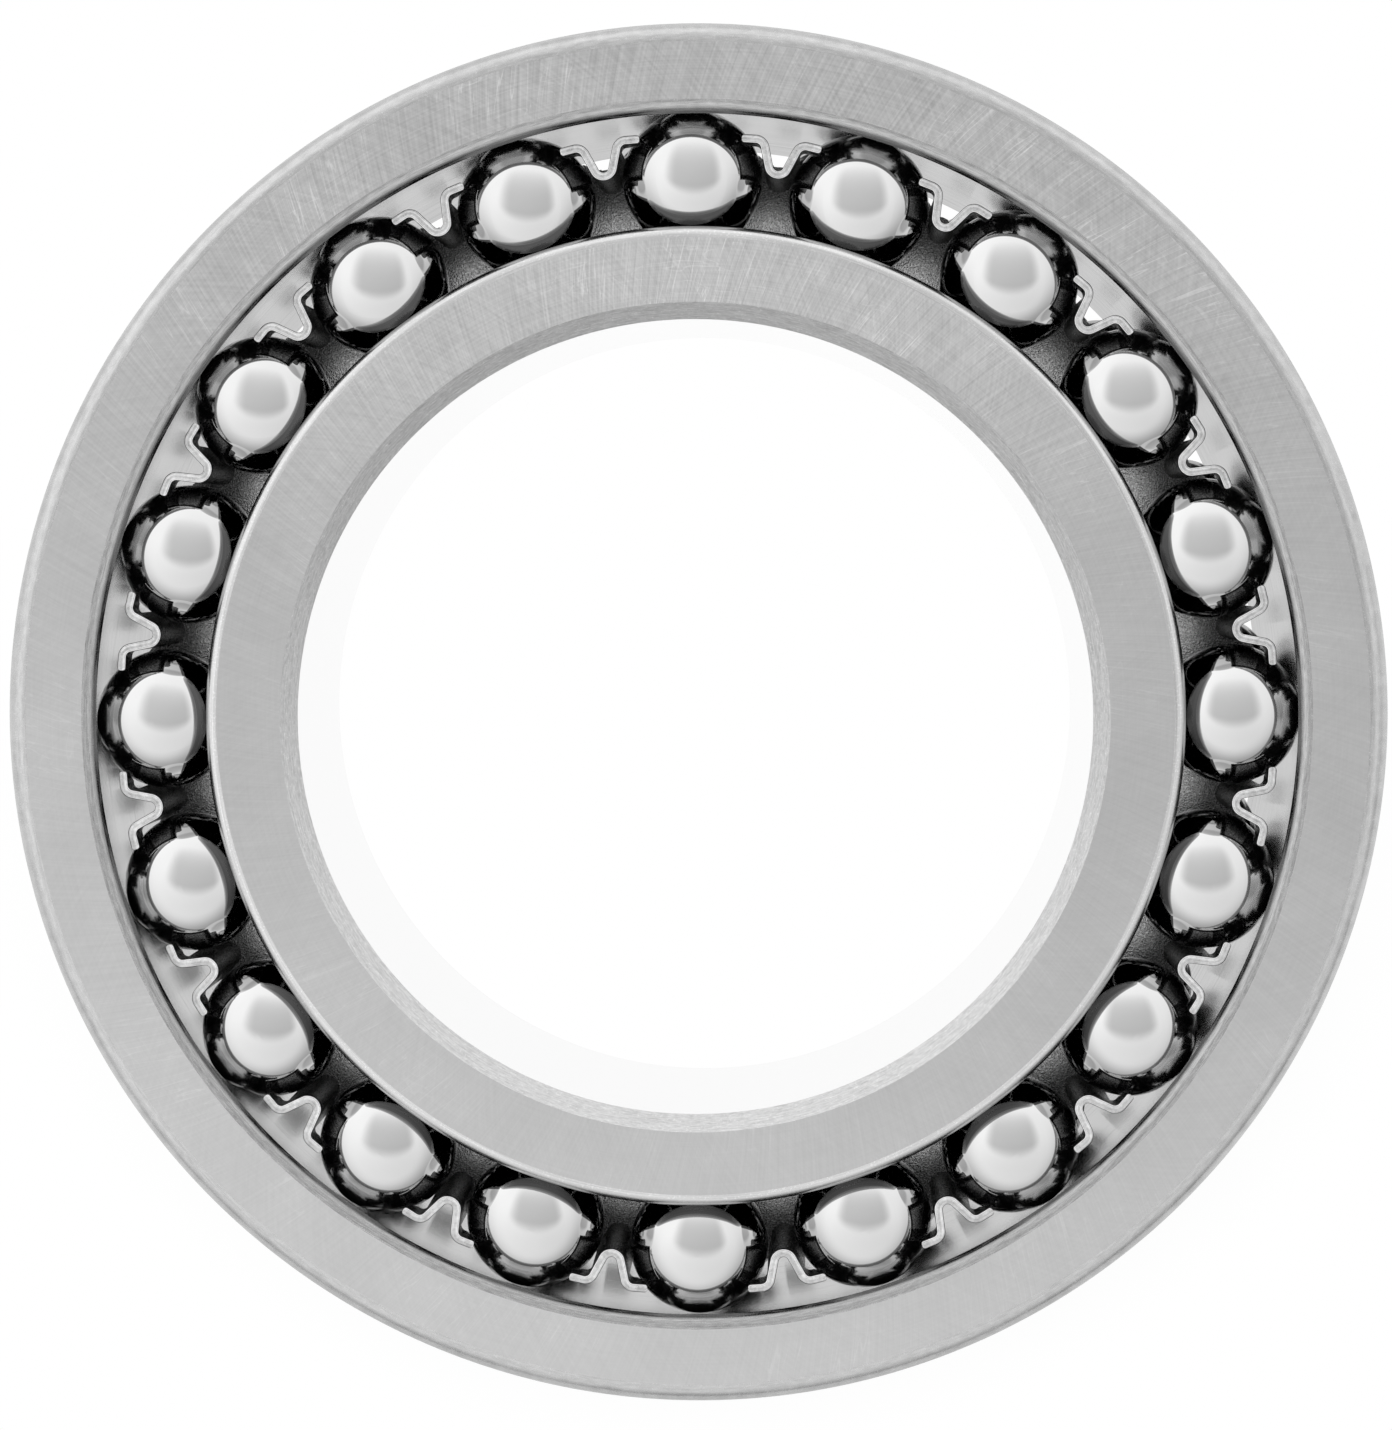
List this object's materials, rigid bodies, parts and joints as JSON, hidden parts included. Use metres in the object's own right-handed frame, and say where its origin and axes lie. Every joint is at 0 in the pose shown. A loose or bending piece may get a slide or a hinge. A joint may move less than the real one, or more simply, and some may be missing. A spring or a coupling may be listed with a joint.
{
  "type": "self-aligning ball bearing",
  "caption": "Double-row self-aligning ball bearing with a spherical outer raceway, a grooved inner ring and two pressed steel cages.",
  "frame": {"origin": "centre of the bearing: on its axis, in the middle plane between the two rows, where the swivel axes cross", "axes": "+Z along the bearing axis, out of the face that the picture shows; +X to the picture's right, +Y up in it"},
  "size_m": [0.13, 0.13, 0.031],
  "materials": {
    "ring_steel": "hardened bearing steel: ground faces and outside, turned corners, lapped raceways",
    "cage_steel": "pressed mild steel sheet, tumbled to a fine pebbled grey, with bright sheared edges",
    "ball_steel": "hardened bearing steel, lapped to a mirror"
  },
  "bodies": {
    "outer_ring": {"outer_ring": "ring_steel"},
    "inner_ring": {"inner_ring": "ring_steel"},
    "cage_front": {"cage_front": "cage_steel"},
    "cage_rear": {"cage_rear": "cage_steel"},
    "ball_front_01": {"ball_front_01": "ball_steel"},
    "ball_front_02": {"ball_front_02": "ball_steel"},
    "ball_front_03": {"ball_front_03": "ball_steel"},
    "ball_front_04": {"ball_front_04": "ball_steel"},
    "ball_front_05": {"ball_front_05": "ball_steel"},
    "ball_front_06": {"ball_front_06": "ball_steel"},
    "ball_front_07": {"ball_front_07": "ball_steel"},
    "ball_front_08": {"ball_front_08": "ball_steel"},
    "ball_front_09": {"ball_front_09": "ball_steel"},
    "ball_front_10": {"ball_front_10": "ball_steel"},
    "ball_front_11": {"ball_front_11": "ball_steel"},
    "ball_front_12": {"ball_front_12": "ball_steel"},
    "ball_front_13": {"ball_front_13": "ball_steel"},
    "ball_front_14": {"ball_front_14": "ball_steel"},
    "ball_front_15": {"ball_front_15": "ball_steel"},
    "ball_front_16": {"ball_front_16": "ball_steel"},
    "ball_front_17": {"ball_front_17": "ball_steel"},
    "ball_front_18": {"ball_front_18": "ball_steel"},
    "ball_front_19": {"ball_front_19": "ball_steel"},
    "ball_front_20": {"ball_front_20": "ball_steel"},
    "ball_rear_01": {"ball_rear_01": "ball_steel"},
    "ball_rear_02": {"ball_rear_02": "ball_steel"},
    "ball_rear_03": {"ball_rear_03": "ball_steel"},
    "ball_rear_04": {"ball_rear_04": "ball_steel"},
    "ball_rear_05": {"ball_rear_05": "ball_steel"},
    "ball_rear_06": {"ball_rear_06": "ball_steel"},
    "ball_rear_07": {"ball_rear_07": "ball_steel"},
    "ball_rear_08": {"ball_rear_08": "ball_steel"},
    "ball_rear_09": {"ball_rear_09": "ball_steel"},
    "ball_rear_10": {"ball_rear_10": "ball_steel"},
    "ball_rear_11": {"ball_rear_11": "ball_steel"},
    "ball_rear_12": {"ball_rear_12": "ball_steel"},
    "ball_rear_13": {"ball_rear_13": "ball_steel"},
    "ball_rear_14": {"ball_rear_14": "ball_steel"},
    "ball_rear_15": {"ball_rear_15": "ball_steel"},
    "ball_rear_16": {"ball_rear_16": "ball_steel"},
    "ball_rear_17": {"ball_rear_17": "ball_steel"},
    "ball_rear_18": {"ball_rear_18": "ball_steel"},
    "ball_rear_19": {"ball_rear_19": "ball_steel"},
    "ball_rear_20": {"ball_rear_20": "ball_steel"}
  },
  "joints": [
    {"name": "self_align", "type": "hinge", "parent": "outer_ring", "child": "cage_rear", "pos_m": [0, 0, 0], "axis": [1, 0, 0], "range_deg": [-2.5, 2.5]},
    {"name": "inner_spin", "type": "hinge", "parent": "cage_rear", "child": "inner_ring", "pos_m": [0, 0, 0], "axis": [0, 0, 1], "continuous": true},
    {"name": "cage_front_orbit", "type": "hinge", "parent": "cage_rear", "child": "cage_front", "pos_m": [0, 0, 0], "axis": [0, 0, 1], "continuous": true},
    {"name": "ball_front_01_roll", "type": "hinge", "parent": "cage_front", "child": "ball_front_01", "pos_m": [-0.00031, 0.051, 0.0085], "axis": [0.001, -0.1644, 0.9864], "continuous": true},
    {"name": "ball_front_02_roll", "type": "hinge", "parent": "cage_front", "child": "ball_front_02", "pos_m": [0.01546, 0.0486, 0.0085], "axis": [-0.0498, -0.1567, 0.9864], "continuous": true},
    {"name": "ball_front_03_roll", "type": "hinge", "parent": "cage_front", "child": "ball_front_03", "pos_m": [0.02972, 0.04144, 0.0085], "axis": [-0.0958, -0.1336, 0.9864], "continuous": true},
    {"name": "ball_front_04_roll", "type": "hinge", "parent": "cage_front", "child": "ball_front_04", "pos_m": [0.04108, 0.03023, 0.0085], "axis": [-0.1324, -0.0974, 0.9864], "continuous": true},
    {"name": "ball_front_05_roll", "type": "hinge", "parent": "cage_front", "child": "ball_front_05", "pos_m": [0.04841, 0.01606, 0.0085], "axis": [-0.156, -0.0518, 0.9864], "continuous": true},
    {"name": "ball_front_06_roll", "type": "hinge", "parent": "cage_front", "child": "ball_front_06", "pos_m": [0.051, 0.00031, 0.0085], "axis": [-0.1644, -0.001, 0.9864], "continuous": true},
    {"name": "ball_front_07_roll", "type": "hinge", "parent": "cage_front", "child": "ball_front_07", "pos_m": [0.0486, -0.01546, 0.0085], "axis": [-0.1567, 0.0498, 0.9864], "continuous": true},
    {"name": "ball_front_08_roll", "type": "hinge", "parent": "cage_front", "child": "ball_front_08", "pos_m": [0.04144, -0.02972, 0.0085], "axis": [-0.1336, 0.0958, 0.9864], "continuous": true},
    {"name": "ball_front_09_roll", "type": "hinge", "parent": "cage_front", "child": "ball_front_09", "pos_m": [0.03023, -0.04108, 0.0085], "axis": [-0.0974, 0.1324, 0.9864], "continuous": true},
    {"name": "ball_front_10_roll", "type": "hinge", "parent": "cage_front", "child": "ball_front_10", "pos_m": [0.01606, -0.04841, 0.0085], "axis": [-0.0518, 0.156, 0.9864], "continuous": true},
    {"name": "ball_front_11_roll", "type": "hinge", "parent": "cage_front", "child": "ball_front_11", "pos_m": [0.00031, -0.051, 0.0085], "axis": [-0.001, 0.1644, 0.9864], "continuous": true},
    {"name": "ball_front_12_roll", "type": "hinge", "parent": "cage_front", "child": "ball_front_12", "pos_m": [-0.01546, -0.0486, 0.0085], "axis": [0.0498, 0.1567, 0.9864], "continuous": true},
    {"name": "ball_front_13_roll", "type": "hinge", "parent": "cage_front", "child": "ball_front_13", "pos_m": [-0.02972, -0.04144, 0.0085], "axis": [0.0958, 0.1336, 0.9864], "continuous": true},
    {"name": "ball_front_14_roll", "type": "hinge", "parent": "cage_front", "child": "ball_front_14", "pos_m": [-0.04108, -0.03023, 0.0085], "axis": [0.1324, 0.0974, 0.9864], "continuous": true},
    {"name": "ball_front_15_roll", "type": "hinge", "parent": "cage_front", "child": "ball_front_15", "pos_m": [-0.04841, -0.01606, 0.0085], "axis": [0.156, 0.0518, 0.9864], "continuous": true},
    {"name": "ball_front_16_roll", "type": "hinge", "parent": "cage_front", "child": "ball_front_16", "pos_m": [-0.051, -0.00031, 0.0085], "axis": [0.1644, 0.001, 0.9864], "continuous": true},
    {"name": "ball_front_17_roll", "type": "hinge", "parent": "cage_front", "child": "ball_front_17", "pos_m": [-0.0486, 0.01546, 0.0085], "axis": [0.1567, -0.0498, 0.9864], "continuous": true},
    {"name": "ball_front_18_roll", "type": "hinge", "parent": "cage_front", "child": "ball_front_18", "pos_m": [-0.04144, 0.02972, 0.0085], "axis": [0.1336, -0.0958, 0.9864], "continuous": true},
    {"name": "ball_front_19_roll", "type": "hinge", "parent": "cage_front", "child": "ball_front_19", "pos_m": [-0.03023, 0.04108, 0.0085], "axis": [0.0974, -0.1324, 0.9864], "continuous": true},
    {"name": "ball_front_20_roll", "type": "hinge", "parent": "cage_front", "child": "ball_front_20", "pos_m": [-0.01606, 0.04841, 0.0085], "axis": [0.0518, -0.156, 0.9864], "continuous": true},
    {"name": "ball_rear_01_roll", "type": "hinge", "parent": "cage_rear", "child": "ball_rear_01", "pos_m": [-0.0028, 0.05092, -0.0085], "axis": [-0.009, 0.1642, 0.9864], "continuous": true},
    {"name": "ball_rear_02_roll", "type": "hinge", "parent": "cage_rear", "child": "ball_rear_02", "pos_m": [0.01307, 0.0493, -0.0085], "axis": [0.0421, 0.1589, 0.9864], "continuous": true},
    {"name": "ball_rear_03_roll", "type": "hinge", "parent": "cage_rear", "child": "ball_rear_03", "pos_m": [0.02766, 0.04284, -0.0085], "axis": [0.0892, 0.1381, 0.9864], "continuous": true},
    {"name": "ball_rear_04_roll", "type": "hinge", "parent": "cage_rear", "child": "ball_rear_04", "pos_m": [0.03955, 0.0322, -0.0085], "axis": [0.1275, 0.1038, 0.9864], "continuous": true},
    {"name": "ball_rear_05_roll", "type": "hinge", "parent": "cage_rear", "child": "ball_rear_05", "pos_m": [0.04756, 0.0184, -0.0085], "axis": [0.1533, 0.0593, 0.9864], "continuous": true},
    {"name": "ball_rear_06_roll", "type": "hinge", "parent": "cage_rear", "child": "ball_rear_06", "pos_m": [0.05092, 0.0028, -0.0085], "axis": [0.1642, 0.009, 0.9864], "continuous": true},
    {"name": "ball_rear_07_roll", "type": "hinge", "parent": "cage_rear", "child": "ball_rear_07", "pos_m": [0.0493, -0.01307, -0.0085], "axis": [0.1589, -0.0421, 0.9864], "continuous": true},
    {"name": "ball_rear_08_roll", "type": "hinge", "parent": "cage_rear", "child": "ball_rear_08", "pos_m": [0.04284, -0.02766, -0.0085], "axis": [0.1381, -0.0892, 0.9864], "continuous": true},
    {"name": "ball_rear_09_roll", "type": "hinge", "parent": "cage_rear", "child": "ball_rear_09", "pos_m": [0.0322, -0.03955, -0.0085], "axis": [0.1038, -0.1275, 0.9864], "continuous": true},
    {"name": "ball_rear_10_roll", "type": "hinge", "parent": "cage_rear", "child": "ball_rear_10", "pos_m": [0.0184, -0.04756, -0.0085], "axis": [0.0593, -0.1533, 0.9864], "continuous": true},
    {"name": "ball_rear_11_roll", "type": "hinge", "parent": "cage_rear", "child": "ball_rear_11", "pos_m": [0.0028, -0.05092, -0.0085], "axis": [0.009, -0.1642, 0.9864], "continuous": true},
    {"name": "ball_rear_12_roll", "type": "hinge", "parent": "cage_rear", "child": "ball_rear_12", "pos_m": [-0.01307, -0.0493, -0.0085], "axis": [-0.0421, -0.1589, 0.9864], "continuous": true},
    {"name": "ball_rear_13_roll", "type": "hinge", "parent": "cage_rear", "child": "ball_rear_13", "pos_m": [-0.02766, -0.04284, -0.0085], "axis": [-0.0892, -0.1381, 0.9864], "continuous": true},
    {"name": "ball_rear_14_roll", "type": "hinge", "parent": "cage_rear", "child": "ball_rear_14", "pos_m": [-0.03955, -0.0322, -0.0085], "axis": [-0.1275, -0.1038, 0.9864], "continuous": true},
    {"name": "ball_rear_15_roll", "type": "hinge", "parent": "cage_rear", "child": "ball_rear_15", "pos_m": [-0.04756, -0.0184, -0.0085], "axis": [-0.1533, -0.0593, 0.9864], "continuous": true},
    {"name": "ball_rear_16_roll", "type": "hinge", "parent": "cage_rear", "child": "ball_rear_16", "pos_m": [-0.05092, -0.0028, -0.0085], "axis": [-0.1642, -0.009, 0.9864], "continuous": true},
    {"name": "ball_rear_17_roll", "type": "hinge", "parent": "cage_rear", "child": "ball_rear_17", "pos_m": [-0.0493, 0.01307, -0.0085], "axis": [-0.1589, 0.0421, 0.9864], "continuous": true},
    {"name": "ball_rear_18_roll", "type": "hinge", "parent": "cage_rear", "child": "ball_rear_18", "pos_m": [-0.04284, 0.02766, -0.0085], "axis": [-0.1381, 0.0892, 0.9864], "continuous": true},
    {"name": "ball_rear_19_roll", "type": "hinge", "parent": "cage_rear", "child": "ball_rear_19", "pos_m": [-0.0322, 0.03955, -0.0085], "axis": [-0.1038, 0.1275, 0.9864], "continuous": true},
    {"name": "ball_rear_20_roll", "type": "hinge", "parent": "cage_rear", "child": "ball_rear_20", "pos_m": [-0.0184, 0.04756, -0.0085], "axis": [-0.0593, 0.1533, 0.9864], "continuous": true}
  ],
  "couplings": [
    {"joint": "cage_front_orbit", "follows": "inner_spin", "ratio": 0.43569},
    {"joint": "ball_front_01_roll", "follows": "inner_spin", "ratio": -3.7712},
    {"joint": "ball_front_02_roll", "follows": "inner_spin", "ratio": -3.7712},
    {"joint": "ball_front_03_roll", "follows": "inner_spin", "ratio": -3.7712},
    {"joint": "ball_front_04_roll", "follows": "inner_spin", "ratio": -3.7712},
    {"joint": "ball_front_05_roll", "follows": "inner_spin", "ratio": -3.7712},
    {"joint": "ball_front_06_roll", "follows": "inner_spin", "ratio": -3.7712},
    {"joint": "ball_front_07_roll", "follows": "inner_spin", "ratio": -3.7712},
    {"joint": "ball_front_08_roll", "follows": "inner_spin", "ratio": -3.7712},
    {"joint": "ball_front_09_roll", "follows": "inner_spin", "ratio": -3.7712},
    {"joint": "ball_front_10_roll", "follows": "inner_spin", "ratio": -3.7712},
    {"joint": "ball_front_11_roll", "follows": "inner_spin", "ratio": -3.7712},
    {"joint": "ball_front_12_roll", "follows": "inner_spin", "ratio": -3.7712},
    {"joint": "ball_front_13_roll", "follows": "inner_spin", "ratio": -3.7712},
    {"joint": "ball_front_14_roll", "follows": "inner_spin", "ratio": -3.7712},
    {"joint": "ball_front_15_roll", "follows": "inner_spin", "ratio": -3.7712},
    {"joint": "ball_front_16_roll", "follows": "inner_spin", "ratio": -3.7712},
    {"joint": "ball_front_17_roll", "follows": "inner_spin", "ratio": -3.7712},
    {"joint": "ball_front_18_roll", "follows": "inner_spin", "ratio": -3.7712},
    {"joint": "ball_front_19_roll", "follows": "inner_spin", "ratio": -3.7712},
    {"joint": "ball_front_20_roll", "follows": "inner_spin", "ratio": -3.7712},
    {"joint": "ball_rear_01_roll", "follows": "inner_spin", "ratio": -6.6828},
    {"joint": "ball_rear_02_roll", "follows": "inner_spin", "ratio": -6.6828},
    {"joint": "ball_rear_03_roll", "follows": "inner_spin", "ratio": -6.6828},
    {"joint": "ball_rear_04_roll", "follows": "inner_spin", "ratio": -6.6828},
    {"joint": "ball_rear_05_roll", "follows": "inner_spin", "ratio": -6.6828},
    {"joint": "ball_rear_06_roll", "follows": "inner_spin", "ratio": -6.6828},
    {"joint": "ball_rear_07_roll", "follows": "inner_spin", "ratio": -6.6828},
    {"joint": "ball_rear_08_roll", "follows": "inner_spin", "ratio": -6.6828},
    {"joint": "ball_rear_09_roll", "follows": "inner_spin", "ratio": -6.6828},
    {"joint": "ball_rear_10_roll", "follows": "inner_spin", "ratio": -6.6828},
    {"joint": "ball_rear_11_roll", "follows": "inner_spin", "ratio": -6.6828},
    {"joint": "ball_rear_12_roll", "follows": "inner_spin", "ratio": -6.6828},
    {"joint": "ball_rear_13_roll", "follows": "inner_spin", "ratio": -6.6828},
    {"joint": "ball_rear_14_roll", "follows": "inner_spin", "ratio": -6.6828},
    {"joint": "ball_rear_15_roll", "follows": "inner_spin", "ratio": -6.6828},
    {"joint": "ball_rear_16_roll", "follows": "inner_spin", "ratio": -6.6828},
    {"joint": "ball_rear_17_roll", "follows": "inner_spin", "ratio": -6.6828},
    {"joint": "ball_rear_18_roll", "follows": "inner_spin", "ratio": -6.6828},
    {"joint": "ball_rear_19_roll", "follows": "inner_spin", "ratio": -6.6828},
    {"joint": "ball_rear_20_roll", "follows": "inner_spin", "ratio": -6.6828}
  ]
}
